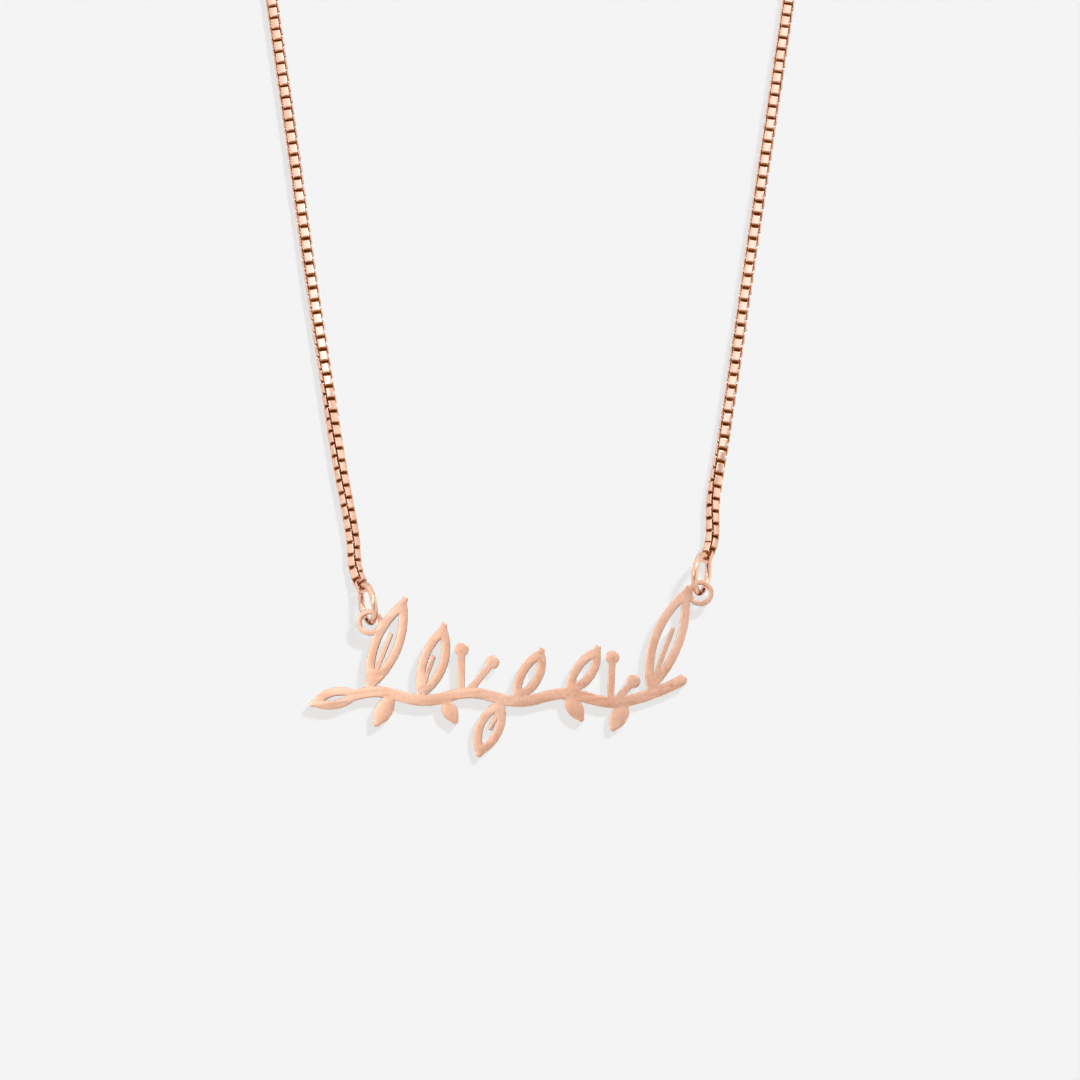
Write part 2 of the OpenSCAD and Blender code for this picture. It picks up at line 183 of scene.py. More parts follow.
@dataclass(frozen=True)
class RoseGoldSteel:
    """Stainless steel under a thin rose gold coat, with the surface that its making left.

    The coat gives the colour, and the work on the steel below it gives the roughness and
    the grain: fine scratches that run one way. Real ones are 0.01 to 0.03 mm wide, too fine
    to show, so each finish draws them as coarse as they need to be. Slow clouds of a few
    millimetres stand for the coat's small changes of thickness. The deep colour of the strip's
    inside is painted shade, and that of the laser-cut wall is partly painted shade.
    """

    name: str
    colour: str
    deep_colour: str
    roughness: float
    roughness_spread: float
    grain_length: float
    grain_width: float
    grain_depth: float
    grain_turn: float = 0.0
    cloud: float = 4.0
    edge_tint: str = "FFFFFF"

    def make(self) -> bpy.types.Material:
        """Build the material.

        Returns:
            The material, ready for a slot of a piece.
        """
        material = bpy.data.materials.new(self.name)
        material.use_nodes = True
        tree = material.node_tree
        tree.nodes.clear()
        place = add_node(tree, "ShaderNodeTexCoord").outputs["Object"]
        along = 1 / (self.grain_length * MM)
        across = 1 / (self.grain_width * MM)
        turned = add_node(
            tree, "ShaderNodeMapping", Vector=place,
            Rotation=(0, 0, math.radians(-self.grain_turn)),
        ).outputs["Vector"]
        stretched = add_node(
            tree, "ShaderNodeMapping", Vector=turned, Scale=(along, across, across),
        ).outputs["Vector"]
        grain = add_node(
            tree, "ShaderNodeTexNoise", Vector=stretched, Scale=1.0, Detail=3.0, Roughness=0.6,
        ).outputs["Fac"]
        cloud = add_node(
            tree, "ShaderNodeTexNoise", Vector=place, Scale=1 / (self.cloud * MM), Detail=2.0,
        ).outputs["Fac"]
        tint = add_node(
            tree, "ShaderNodeMix", {"data_type": "RGBA"}, Factor=self.mixed(tree, grain, cloud),
        )
        tint.inputs[MIX_FIRST].default_value = linear(self.deep_colour)
        tint.inputs[MIX_SECOND].default_value = linear(self.colour)
        rough = add_node(
            tree, "ShaderNodeMapRange", Value=grain, From_Min=NOISE_LOW, From_Max=NOISE_HIGH,
            To_Min=self.roughness - self.roughness_spread,
            To_Max=self.roughness + self.roughness_spread,
        ).outputs["Result"]
        relief = add_node(
            tree, "ShaderNodeBump", Height=grain, Strength=1.0, Distance=self.grain_depth * MM,
        ).outputs["Normal"]
        shader = add_node(
            tree, "ShaderNodeBsdfPrincipled", Metallic=1.0, Base_Color=tint.outputs[MIX_RESULT],
            Roughness=rough, Normal=relief, Specular_Tint=linear(self.edge_tint),
        )
        add_node(tree, "ShaderNodeOutputMaterial", Surface=shader.outputs["BSDF"])
        return material

    @staticmethod
    def mixed(
        tree: bpy.types.NodeTree, grain: bpy.types.NodeSocket, cloud: bpy.types.NodeSocket
    ) -> bpy.types.NodeSocket:
        """Blend the fine grain with slow clouds.

        Args:
            tree: the material's node tree.
            grain: the grain's strength.
            cloud: the clouds' strength.

        Returns:
            The socket with their share of the lighter colour.
        """
        total = add_node(tree, "ShaderNodeMath", {"operation": "ADD"})
        tree.links.new(grain, total.inputs[0])
        tree.links.new(cloud, total.inputs[1])
        return add_node(
            tree, "ShaderNodeMapRange", Value=total.outputs[0], From_Min=SUM_LOW, From_Max=SUM_HIGH,
        ).outputs["Result"]


# Laser-cut sheet whose face was drawn over a fine belt: matte, with short soft scratches,
# drawn six times as wide as a fine belt leaves them
BRUSHED_FACE = RoseGoldSteel(
    name="Brushed rose gold plated steel sheet", colour="F8CBB1", deep_colour="E8AD8D",
    roughness=0.42, roughness_spread=0.12, grain_length=0.32, grain_width=0.12,
    grain_depth=0.012, grain_turn=62.0,
)
# The rim of the same sheet, rubbed round and smooth by tumbling: it catches the light as a
# thin bright line
RUBBED_RIM = RoseGoldSteel(
    name="Tumbled rim of rose gold plated steel sheet", colour="F5C5AA", deep_colour="EFB99B",
    roughness=0.3, roughness_spread=0.05, grain_length=0.3, grain_width=0.3,
    grain_depth=0.001,
)
# The laser-cut wall of the sheet, which no brush reaches: rough. Its deep colour is partly its own darker
# tone and partly painted shade along the plate's edges
CUT_WALL_TONE_AND_SHADE = RoseGoldSteel(
    name="Laser-cut wall of rose gold plated steel sheet", colour="8E532F", deep_colour="703E20",
    roughness=0.4, roughness_spread=0.06, grain_length=0.9, grain_width=0.08,
    grain_depth=0.004, edge_tint="B07848",
)
# Rolled strip that keeps a bright, nearly smooth face: each link mirrors one patch of the room
ROLLED_STRIP = RoseGoldSteel(
    name="Rose gold plated rolled steel strip", colour="FACFB8", deep_colour="F3BEA2",
    roughness=0.2, roughness_spread=0.05, grain_length=0.5, grain_width=0.09,
    grain_depth=0.0012, grain_turn=80.0,
)
# The inside of the bent strip, painted dark brown as painted shade: it makes the
# dark bars between the links, where they shade each other
STRIP_PAINTED_SHADE = RoseGoldSteel(
    name="Unpolished inside of rose gold plated steel strip", colour="CE8A54", deep_colour="AC6838",
    roughness=0.5, roughness_spread=0.1, grain_length=0.3, grain_width=0.3,
    grain_depth=0.002, edge_tint="D8A56C",
)
# Drawn wire, polished after the rings were wound: a clear highlight along each turn
DRAWN_WIRE = RoseGoldSteel(
    name="Polished rose gold plated steel wire", colour="F8CBB0", deep_colour="F2BC9C",
    roughness=0.22, roughness_spread=0.03, grain_length=0.6, grain_width=0.15,
    grain_depth=0.0008,
)
# Cast steel, tumbled and polished: soft wide highlights on full curves
POLISHED_CASTING = RoseGoldSteel(
    name="Polished rose gold plated steel casting", colour="F6C6AA", deep_colour="F0B898",
    roughness=0.18, roughness_spread=0.04, grain_length=0.9, grain_width=0.5,
    grain_depth=0.0015,
)


@dataclass
class Body:
    """Corners, faces and finishes that become one mesh; lengths are millimetres."""

    points: list[Vector] = field(default_factory=list)
    normals: list[Vector] = field(default_factory=list)
    faces: list[tuple[int, ...]] = field(default_factory=list)
    finishes: list[int] = field(default_factory=list)

    def add_ring(self, points: list[Vector], normals: list[Vector] | None = None) -> range:
        """Add a row of corners.

        Args:
            points: the corners in order.
            normals: the surface's direction at each of them.

        Returns:
            Their numbers.
        """
        first = len(self.points)
        self.points += points
        self.normals += normals or []
        return range(first, len(self.points))

    def add_band(
        self, lower: range, upper: range, finish: int = 0, apart: dict[int, int] | None = None
    ) -> None:
        """Join two rings of corners by a band of four-sided faces.

        Args:
            lower: the first ring.
            upper: the second ring, as long as the first.
            finish: the number of the band's finish.
            apart: the finishes of single faces that differ from the band's, by place in it.
        """
        count = len(lower)
        for i in range(count):
            j = (i + 1) % count
            self.faces.append((lower[i], lower[j], upper[j], upper[i]))
            self.finishes.append((apart or {}).get(i, finish))

    def add_face(self, corners: tuple[int, ...], finish: int = 0) -> None:
        """Add one face with its corners' numbers in order and its finish."""
        self.faces.append(corners)
        self.finishes.append(finish)

    def to_mesh(self, name: str) -> bpy.types.Mesh:
        """Make the mesh in metres.

        Args:
            name: the mesh's name.

        Returns:
            The mesh, shaded smooth, with the normals that it was given.
        """
        mesh = bpy.data.meshes.new(name)
        mesh.from_pydata([p * MM for p in self.points], [], self.faces)
        mesh.polygons.foreach_set("material_index", self.finishes)
        mesh.polygons.foreach_set("use_smooth", [True] * len(self.faces))
        if self.normals:
            mesh.normals_split_custom_set_from_vertices(self.normals)
        mesh.validate()
        return mesh


def show(
    mesh: bpy.types.Mesh,
    name: str,
    finishes: list[bpy.types.Material],
    nodes: tuple[str, ...],
) -> bpy.types.Object:
    """Put a mesh in the scene in place of the model's nodes.

    Args:
        mesh: the mesh, in the model's own frame.
        name: the piece's name.
        finishes: its materials, in the order of its finish numbers.
        nodes: the nodes that it stands for.

    Returns:
        The new piece.
    """
    for finish in finishes:
        mesh.materials.append(finish)
    piece = bpy.data.objects.new(name, mesh)
    bpy.context.scene.collection.objects.link(piece)
    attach(piece, "root")
    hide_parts(*nodes)
    # The floor stays as neutral beside the metal as it is far from it
    piece.visible_diffuse = False
    log.info("%s: %d faces in place of %s", name, len(mesh.polygons), ", ".join(nodes))
    return piece


@dataclass(frozen=True)
class JumpRing:
    """A ring of round wire, closed at a saw cut, that stands on the floor.

    The direction is the way from the ring to its chain, the tilt is the ring's turn up from
    the floor toward its raised side, and the slide is how far the chain has slipped round
    it. The seam is the place of the cut around the ring.
    """

    node: str
    direction: float
    raised: int
    seam: float
    outer: float = 4.25
    wire: float = 0.6
    tilt: float = 70.0
    slide: float = 24.0
    cut: float = 0.06
    cut_round: float = 0.04
    cut_share: float = 0.3
    steps: int = 150
    sides: int = 28

    @property
    def radius(self) -> float:
        """Radius of the wire's middle line."""
        return (self.outer - self.wire) / 2

    @cached_property
    def middle(self) -> Vector:
        """The ring's middle, taken from the model's node."""
        low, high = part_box(self.node)
        return (low + high) / 2 / MM

    @cached_property
    def stand(self) -> Matrix:
        """The ring's own frame: its X is across it, its Y the way to the chain."""
        lie = turn(self.direction, "Z") @ turn(-self.raised * self.tilt, "Y")
        return Matrix.Translation(self.middle) @ lie

    @cached_property
    def pull(self) -> Matrix:
        """The frame of the end link on the wire: its Y is the way out of the ring."""
        return self.stand @ turn(self.raised * self.slide, "Z") @ Matrix.Translation((0, self.radius, 0))

    def build(self, finish: bpy.types.Material) -> None:
        """Make the ring in place of its node.

        Args:
            finish: the finish of its wire.
        """
        body = Body()
        half_cut = self.cut / 2 / self.radius
        start = math.radians(self.seam) + half_cut
        sweep = math.tau - 2 * half_cut
        rim = self.cut_round / self.radius
        share = self.cut_share
        wire = self.wire / 2
        angles = [(0.0, wire - self.cut_round), (rim * share, wire - self.cut_round * share)]
        angles += [(rim + (sweep - 2 * rim) * i / self.steps, wire) for i in range(self.steps + 1)]
        angles += [(sweep - a, r) for a, r in reversed(angles[:2])]
        rows = [self.section(body, start + a, r) for a, r in angles]
        for one, other in zip(rows, rows[1:]):
            body.add_band(one, other)
        body.add_face(tuple(rows[0]))
        body.add_face(tuple(reversed(rows[-1])))
        show(body.to_mesh(self.node), self.node + "_wire", [finish], (self.node,))

    def section(self, body: Body, angle: float, radius: float) -> range:
        """Add the wire's section at an angle around the ring.

        Args:
            body: what the section is added to.
            angle: the place around the ring, in radians.
            radius: the section's radius.

        Returns:
            The numbers of its corners.
        """
        out = Vector((math.cos(angle), math.sin(angle), 0))
        corners = []
        for i in range(self.sides):
            a = math.tau * i / self.sides
            point = out * (self.radius + radius * math.cos(a)) - UP * radius * math.sin(a)
            corners.append(self.stand @ point)
        return body.add_ring(corners)


@dataclass(frozen=True)
class BoxLink:
    """One link of a box chain: a slightly crowned strip bent around a square hole.

    The link's own X is along the chain, its Y across the hole and its Z through it. It
    reaches ahead of its own middle and behind it, and it is as wide as the chain. The strip's
    inside has the dark finish of painted shade. So does its outer face, where the surface
    leans less than the face angle, up to the shut angle from the way to the next link.
    """

    ahead: float
    behind: float
    width: float
    strip: float
    thickness: float = 0.22
    corner: float = 0.2
    inner_corner: float = 0.05
    crown: float = 0.014
    steps: int = 4
    shut_angle: float = 60.0
    face_angle: float = 45.0

    def lanes(self) -> list[tuple[float, float, float, int]]:
        """The strip's section, once around from the middle of its outer face.

        Returns:
            For each point its distance in from the link's outside, its place across the
            strip, the angle of the surface there from outward, and the finish up to the
            next point. Past the strip's edge, that finish is the inside's painted shade.
        """
        side = self.strip / 2
        edge = self.thickness / 2
        right = [
            (self.crown * 0.15, side * 0.5, 2.5, 0), (self.crown, side - edge * 0.6, 12.0, 0),
            (edge * 0.5, side - edge * 0.12, 50.0, 0), (edge, side, 90.0, 0),
            (edge * 1.5, side - edge * 0.12, 130.0, 1), (self.thickness, side - edge * 0.6, 180.0, 1),
        ]
        left = [
            (inset, -across, -angle, 0 if angle <= 90 else 1) for inset, across, angle, _ in reversed(right)
        ]
        return [(0.0, 0.0, 0.0, 0)] + right + left

    def outline(self, inset: float) -> list[tuple[Vector, Vector]]:
        """One line of the strip, once around the link.

        Args:
            inset: the distance in from the link's outside.

        Returns:
            Its points and the ways outward there, with a round stretch at each corner.
        """
        share = inset / self.thickness
        r = self.corner * (1 - share) + self.inner_corner * share
        line = []
        for quarter in range(4):
            x = self.ahead - inset - r if quarter in (0, 3) else inset + r - self.behind
            y = (self.width / 2 - inset - r) * (1 if quarter < 2 else -1)
            for step in range(self.steps + 1):
                a = math.pi / 2 * (quarter + step / self.steps)
                out = Vector((math.cos(a), math.sin(a), 0))
                line.append((Vector((x, y, 0)) + out * r, out))
        return line

    def painted_shade_ends(self) -> dict[int, int]:
        """Find the stretches round the link that face the next one, painted dark as the shade between
        links.

        Returns:
            The painted shade's finish for each of them, by its place round the link.
        """
        stretches = {}
        for quarter in range(4):
            for step in range(self.steps + 1):
                angle = 90.0 * (quarter + min((step + 0.5) / self.steps, 1.0))
                if abs(math.cos(math.radians(angle))) > math.cos(math.radians(self.shut_angle)):
                    stretches[quarter * (self.steps + 1) + step] = 1
        return stretches

    def add_to(self, body: Body, place: Matrix) -> None:
        """Add the link to a mesh.

        Args:
            body: what it is added to.
            place: the link's frame.
        """
        way = place.to_3x3()
        rows = []
        lanes = self.lanes()
        painted_shade_ends = self.painted_shade_ends()
        for inset, across, angle, _ in lanes:
            lean = math.radians(angle)
            line = self.outline(inset)
            points = [place @ (p + UP * across) for p, _ in line]
            normals = [way @ (out * math.cos(lean) + UP * math.sin(lean)) for _, out in line]
            rows.append(body.add_ring(points, normals))
        for i, (one, other) in enumerate(zip(rows, rows[1:] + rows[:1])):
            steepest = max(abs(lanes[i][2]), abs(lanes[(i + 1) % len(lanes)][2]))
            # The outer face's stretches toward the next link take the inside's finish, as painted shade
            # between the links
            apart = painted_shade_ends if steepest < self.face_angle else None
            body.add_band(one, other, finish=lanes[i][3], apart=apart)


@dataclass(frozen=True)
class EndLink:
    """The longer box link that holds the chain on a ring's wire."""

    node: str
    ring: JumpRing
    reach: float = 0.79
    play: float = 0.02
    thickness: float = 0.15
    width: float = 1.1
    strip: float = 0.55

    def build(self, outside: bpy.types.Material, inside: bpy.types.Material) -> None:
        """Make the end link in place of its node.

        Args:
            outside: the finish of the strip's outside.
            inside: the finish of the strip's inside, painted dark as shade.
        """
        link = BoxLink(
            ahead=self.reach, behind=self.ring.wire / 2 + self.play + self.thickness,
            width=self.width, strip=self.strip, thickness=self.thickness, shut_angle=0,
        )
        body = Body()
        along, through, across = (self.ring.pull.to_3x3().col[i] for i in (1, 0, 2))
        link.add_to(body, frame_of(along, across, through, self.ring.pull.translation))
        show(body.to_mesh(self.node), self.node + "_strip", [outside, inside], (self.node,))


@dataclass(frozen=True)
class Loop:
    """The necklace's loop: two straight sides that lean outward, and a round top.

    Its own origin lies between the two sides, at the height of the plate's ears. The ear gap
    is the distance between the ears, and the gap is that between the sides at that height.
    """

    length: float = 450.0
    ear_gap: float = 31.7
    gap: float = 32.3
    lean: float = 8.5
    clasp_width: float = 4.2

    @property
    def slant(self) -> float:
        """The straight sides' lean in radians."""
        return math.radians(self.lean)

    @property
    def side(self) -> float:
        """Length of a straight side."""
        share = math.pi + 2 * self.slant
        bare = self.length - self.ear_gap - share * self.gap / 2 / math.cos(self.slant)
        return bare / (2 + share * math.tan(self.slant))

    @property
    def radius(self) -> float:
        """Radius of the round top."""
        return (self.gap / 2 + self.side * math.sin(self.slant)) / math.cos(self.slant)

    @property
    def arc_middle(self) -> float:
        """Height of the round top's middle."""
        return self.side * math.cos(self.slant) + self.radius * math.sin(self.slant)

    @cached_property
    def shift(self) -> float:
        """What is added to a height in the loop to get the model's Y."""
        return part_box("clasp")[1].y / MM - (self.arc_middle + self.radius + self.clasp_width / 2)


@dataclass(frozen=True)
class ChainSide:
    """One side's chain: its route over the floor and its links.

    The route starts out from the middle of a ring's wire, runs straight out of the ring for
    a stretch, and leaves the loop's round top at the clasp angle before its middle. The
    drift is the distance outward from the leaning straight line at a height up the side,
    and the roll is the chain's turn about its own length at a distance from the plate's
    ring. The bar gap is the room between a ring's wire and the first link, and the pitch is
    the distance between links at a run along the chain. Beyond the free run the links are
    spread evenly to end at the clasp.
    """

    side: Side
    loop: Loop
    near: JumpRing
    far: JumpRing
    drift: Table
    roll: Table
    seed: int
    first_through_side: bool
    width: float = 1.2
    corner: float = 0.15
    link_length: float = 1.08
    strip: float = 0.76
    start: float = 0.91
    bar_gap: float = 0.15
    straight_out: float = 0.6
    clasp_angle: float = 16.0
    arc_steps: int = 14
    step: float = 0.05
    clasp_roll: Table = ((0, 20), (2, 18), (9, 0))
    pitch: Table = ((0, 0.606), (32, 0.606), (46, 0.563), (60, 0.563), (70, 0.58))
    free_run: float = 60.0
    straight_share: float = 0.75
    look_around: float = 0.3
    loose_roll: float = 1.6
    link_lean: float = -4.0
    loose_turn: float = 1.1

    def leaving(self, ring: JumpRing, out: float) -> Vector:
        """The place of the chain's middle line near a ring.

        Args:
            ring: the ring.
            out: the distance out from the middle of its wire, as its end link is pulled.

        Returns:
            The point in space.
        """
        return ring.pull @ Vector((0, out, 0))

    def route(self) -> list[Point]:
        """Find where the chain passes on the floor.

        Returns:
            The points in order, from the plate to the clasp.
        """
        lean = self.loop.slant
        sign = self.side.value
        shift = self.loop.shift
        straight = self.straight_share * self.loop.side
        points = [self.leaving(self.near, out).xy for out in (self.start, self.start + self.straight_out)]
        for up, drift in self.drift:
            points.append(Vector((sign * (self.loop.gap / 2 + up * math.tan(lean) + drift), up + shift)))
        points.append(Vector((
            sign * (self.loop.gap / 2 + straight * math.sin(lean)), straight * math.cos(lean) + shift,
        )))
        for i in range(self.arc_steps):
            a = -lean + i * (math.pi / 2 + lean - math.radians(self.clasp_angle)) / (self.arc_steps - 1)
            points.append(Vector((
                sign * self.loop.radius * math.cos(a),
                self.loop.arc_middle + self.loop.radius * math.sin(a) + shift,
            )))
        points += [self.leaving(self.far, out).xy for out in (self.start + self.straight_out, self.start)]
        return points

    @staticmethod
    def slope(points: list[Vector], i: int) -> Vector:
        """Direction of the smooth curve at one of its points, by the nearness of its neighbours.

        Args:
            points: the points that the curve passes.
            i: the number of the point.

        Returns:
            The direction, about as long as one.
        """
        if i == 0:
            return (points[1] - points[0]).normalized()
        if i == len(points) - 1:
            return (points[i] - points[i - 1]).normalized()
        before = (points[i] - points[i - 1]).length
        after = (points[i + 1] - points[i]).length
        back = (points[i] - points[i - 1]) / before
        on = (points[i + 1] - points[i]) / after
        return (back * after + on * before) / (before + after)

    def curve(self) -> tuple[list[Vector], list[float]]:
        """The smooth curve through the route.

        Returns:
            Its close points on the floor, and the run up to each of them.
        """
        route = self.route()
        points = []
        for i in range(len(route) - 1):
            first, second = route[i], route[i + 1]
            span = (second - first).length
            steps = max(1, round(span / self.step))
            leave, arrive = self.slope(route, i) * span, self.slope(route, i + 1) * span
            for j in range(steps):
                t = j / steps
                points.append(
                    first * (2 * t ** 3 - 3 * t ** 2 + 1) + leave * (t ** 3 - 2 * t ** 2 + t)
                    + second * (3 * t ** 2 - 2 * t ** 3) + arrive * (t ** 3 - t ** 2)
                )
        points.append(route[-1])
        runs = [0.0]
        for one, other in zip(points, points[1:]):
            runs.append(runs[-1] + (other - one).length)
        return points, runs

    def rolled(self, run: float, total: float) -> float:
        """The chain's roll.

        Args:
            run: the run along the chain.
            total: the chain's whole run.

        Returns:
            The roll there in degrees.
        """
        return read_table(self.roll, run) + self.side.value * read_table(self.clasp_roll, total - run)

    def height(self, run: float, total: float) -> float:
        """Height of the chain's middle line, which comes down from each end link to the floor.

        Args:
            run: the run along the chain.
            total: the chain's whole run.

        Returns:
            The height there.
        """
        roll = math.radians(self.rolled(run, total))
        reach = abs(math.cos(roll)) + abs(math.sin(roll))
        rest = (self.width / 2 - self.corner) * reach + self.corner
        fall = math.sin(math.radians(self.near.slide)) * math.sin(math.radians(self.near.tilt))
        above = self.leaving(self.near, self.start).z - rest
        stretch = 2 * above / fall
        for distance in (run, total - run):
            if distance < stretch:
                rest += above * (1 - distance / stretch) ** 2
        return rest

    def places(self, total: float) -> list[float]:
        """The runs at which the links' middles lie.

        Args:
            total: the chain's whole run.

        Returns:
            One run a link.
        """
        lead = self.bar_gap + self.near.wire / 2 + self.link_length / 2 - self.start
        runs = [lead]
        while runs[-1] < total - lead:
            runs.append(runs[-1] + read_table(self.pitch, runs[-1]))
        odd = len(runs) % 2 == 1
        if odd != self.first_through_side:
            runs.pop()
        spread = (total - lead - self.free_run) / (runs[-1] - self.free_run)
        return [r if r < self.free_run else self.free_run + (r - self.free_run) * spread for r in runs]

    def build(self, outside: bpy.types.Material, inside: bpy.types.Material) -> bpy.types.Object:
        """Make the chain's links in place of its node.

        Args:
            outside: the finish of the strip's outside.
            inside: the finish of the strip's inside, painted dark as shade.

        Returns:
            The links, as one piece.
        """
        points, runs = self.curve()
        total = runs[-1]
        loose = random.Random(self.seed)
        link = BoxLink(
            ahead=self.link_length / 2, behind=self.link_length / 2, width=self.width, strip=self.strip,
        )
        body = Body()
        through_side = self.first_through_side
        for run in self.places(total):
            around = (-self.look_around, self.look_around)
            ends = [self.at(points, runs, total, run + reach) for reach in around]
            middle = self.at(points, runs, total, run)
            along = (ends[1] - ends[0]).normalized()
            beside = along.cross(UP).normalized()
            above = beside.cross(along)
            roll = math.radians(self.rolled(run, total) + loose.uniform(-self.loose_roll, self.loose_roll))
            up = above * math.cos(roll) + beside * math.sin(roll)
            out = beside * math.cos(roll) - above * math.sin(roll)
            across, through = (up, out) if through_side else (out, -up)
            leaning = self.link_lean + loose.uniform(-self.loose_turn, self.loose_turn)
            lean = Matrix.Rotation(math.radians(leaning), 3, through)
            link.add_to(body, frame_of(lean @ along, lean @ across, through, middle))
            through_side = not through_side
        node = "chain_" + self.side.word
        return show(body.to_mesh(node), node + "_links", [outside, inside], (node,))

    def at(self, points: list[Vector], runs: list[float], total: float, run: float) -> Vector:
        """The chain's middle line at a run, straight on beyond its ends.

        Args:
            points: the close points of the curve on the floor.
            runs: the run up to each of them.
            total: the whole run.
            run: the run to find.

        Returns:
            The point in space.
        """
        i = min(max(bisect_left(runs, run), 1), len(runs) - 1)
        share = (run - runs[i - 1]) / (runs[i] - runs[i - 1])
        flat = points[i - 1].lerp(points[i], share)
        return Vector((flat.x, flat.y, self.height(run, total)))


@dataclass(frozen=True)
class Nameplate:
    """The pierced plate, cut from sheet, with the edges that tumbling rounded off.

    Points nearer than the weld are one point, and an inset at a corner reaches at most the
    miter times its own width.
    """

    node: str = "nameplate"
    rounding: float = 0.08
    round_steps: int = 4
    weld: float = 0.004
    miter: float = 3.0
    sharp: float = 38.0
    facing_up: float = 0.5
    in_plane: float = 0.999

    def face(self) -> tuple[list[list[Vector]], Vector, float]:
        """Read the plate's face from the model.

        Returns:
            The face's outlines with the metal on their left, its direction, and the
            plate's thickness.
        """
        mesh = bmesh.new()
        mesh.from_mesh(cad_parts[self.node].data)
        bmesh.ops.transform(mesh, matrix=Matrix.Scale(1 / MM, 4), verts=mesh.verts)
        bmesh.ops.remove_doubles(mesh, verts=mesh.verts, dist=self.weld / 2)
        mesh.normal_update()
        upper = [f for f in mesh.faces if f.normal.z > self.facing_up]
        way = max(upper, key=lambda f: f.calc_area()).normal.copy()
        flat = {f for f in mesh.faces if f.normal.dot(way) > self.in_plane}
        heights = [v.co.dot(way) for v in mesh.verts]
        after = {}
        for one in flat:
            for corner in one.loops:
                others = [f for f in corner.edge.link_faces if f in flat and f is not one]
                if not others:
                    after[corner.vert] = corner.link_loop_next.vert
        rims = []
        while after:
            vert = next(iter(after))
            rim = []
            while vert in after:
                rim.append(vert.co.copy())
                vert = after.pop(vert)
            rims.append(rim)
        mesh.free()
        return rims, way, max(heights) - min(heights)

    def welded(self, rim: list[Vector]) -> list[Vector]:
        """Drop the points of a rim that nearly fall together.

        Args:
            rim: the rim's points in order.

        Returns:
            The points that stay.
        """
        return [p for i, p in enumerate(rim) if (p - rim[i - 1]).length > self.weld]

    def inset_ways(self, rim: list[Vector], way: Vector) -> list[Vector]:
        """Find the way into the metal at each point of a rim.

        Args:
            rim: the rim's points in order, with the metal on their left.
            way: the direction of the plate's face.

        Returns:
            The way at each point, long enough for an even inset.
        """
        ways = []
        for i, point in enumerate(rim):
            before = way.cross(point - rim[i - 1]).normalized()
            after = way.cross(rim[(i + 1) % len(rim)] - point).normalized()
            middle = (before + after).normalized()
            ways.append(middle / max(middle.dot(after), 1 / self.miter))
        return ways

    def build(self, finishes: list[bpy.types.Material]) -> None:
        """Make the plate in place of its node.

        Args:
            finishes: the finishes of its faces, of its rims and of its walls, the walls' partly painted
                shade.
        """
        rims, way, thickness = self.face()
        rims = [self.welded(rim) for rim in rims]
        body = Body()
        levels = []
        for i in range(self.round_steps + 1):
            a = math.pi / 2 * i / self.round_steps
            levels.append((self.rounding * (1 - math.sin(a)), self.rounding * (1 - math.cos(a))))
        levels += [(inset, thickness - depth) for inset, depth in reversed(levels)]
        top, bottom = [], []
        for rim in rims:
            ways = self.inset_ways(rim, way)
            rows = [
                body.add_ring([p + w * inset - way * depth for p, w in zip(rim, ways)])
                for inset, depth in levels
            ]
            for number, (one, other) in enumerate(zip(rows, rows[1:])):
                # The wall and the underside's rounding take the wall's finish, darkened partly as painted
                # shade
                body.add_band(other, one, finish=1 if number < self.round_steps else 2)
            top.append(rows[0])
            bottom.append(rows[-1])
        for rows, flip in ((top, False), (bottom, True)):
            numbers = [n for row in rows for n in row]
            for corners in tessellate_polygon([[body.points[n] for n in row] for row in rows]):
                face = tuple(numbers[c] for c in corners)
                first, second, third = (body.points[n] for n in face)
                upward = (second - first).cross(third - first).dot(way) > 0
                body.add_face(face if upward != flip else tuple(reversed(face)))
        piece = show(body.to_mesh(self.node), "vine_plate", finishes, (self.node,))
        keep_faces_flat(piece, self.sharp)


@dataclass(frozen=True)
class Clasp:
    """The plain clasp at the back of the neck, a smooth casting."""

    node: str = "clasp"
    rounding: float = 0.16
    round_steps: int = 3
    sharp: float = 32.0
    weld: float = 0.003
    flat: float = 1.0

    def build(self, finish: bpy.types.Material) -> None:
        """Make the clasp in place of its node, with rounded edges.

        Args:
            finish: the finish of its casting.
        """
        mesh = bmesh.new()
        mesh.from_mesh(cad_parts[self.node].data)
        bmesh.ops.transform(mesh, matrix=Matrix.Scale(1 / MM, 4), verts=mesh.verts)
        bmesh.ops.remove_doubles(mesh, verts=mesh.verts, dist=self.weld)
        bmesh.ops.dissolve_limit(
            mesh, angle_limit=math.radians(self.flat), verts=mesh.verts, edges=mesh.edges,
            use_dissolve_boundaries=False,
        )
        edges = [e for e in mesh.edges if e.is_manifold and math.degrees(e.calc_face_angle()) > self.sharp]
        bmesh.ops.bevel(
            mesh, geom=edges, offset=self.rounding, segments=self.round_steps, profile=0.5,
            affect="EDGES", clamp_overlap=True,
        )
        bmesh.ops.transform(mesh, matrix=Matrix.Scale(MM, 4), verts=mesh.verts)
        made = bpy.data.meshes.new(self.node)
        mesh.to_mesh(made)
        mesh.free()
        made.polygons.foreach_set("use_smooth", [True] * len(made.polygons))
        piece = show(made, "clasp_casting", [finish], (self.node,))
        keep_faces_flat(piece, self.sharp)


def keep_faces_flat(piece: bpy.types.Object, sharp: float) -> None:
    """Shade a piece so that its flat faces stay flat and its roundings are smooth.

    Args:
        piece: the piece.
        sharp: the least angle between two faces, in degrees, that stays a sharp edge.
    """
    piece.data.set_sharp_from_angle(angle=math.radians(sharp))
    normals = piece.modifiers.new("face_normals", "WEIGHTED_NORMAL")
    normals.keep_sharp = True


